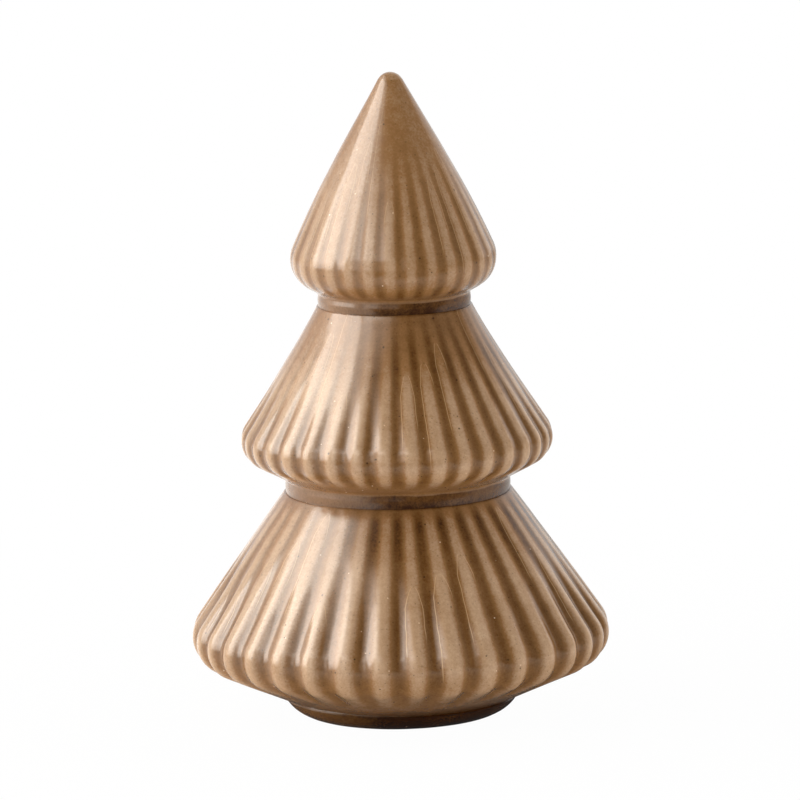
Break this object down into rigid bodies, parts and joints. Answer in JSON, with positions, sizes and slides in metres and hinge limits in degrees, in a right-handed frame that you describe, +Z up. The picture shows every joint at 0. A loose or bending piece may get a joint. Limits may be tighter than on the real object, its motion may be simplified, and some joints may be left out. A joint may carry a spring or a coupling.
{
  "type": "decorative table tree",
  "caption": "Stylised table tree in glazed stoneware: hollow fluted tiers stacked on plain collars, on a low foot with felt pads.",
  "frame": {"origin": "on the table, at the centre of the foot", "axes": "+Z up along the tree's axis, -Y towards the side shown in the picture"},
  "size_m": [0.0906, 0.0906, 0.1402],
  "materials": {
    "glazed_stoneware": "glossy caramel-brown glaze, darker where it pools in the flutes and necks",
    "felt": "pressed wool felt"
  },
  "bodies": {
    "root": {"foot": "glazed_stoneware", "bottom_tier": "glazed_stoneware", "lower_collar": "glazed_stoneware", "middle_tier": "glazed_stoneware", "upper_collar": "glazed_stoneware", "crown_tier": "glazed_stoneware", "felt_pad_1": "felt", "felt_pad_2": "felt", "felt_pad_3": "felt"}
  },
  "joints": []
}
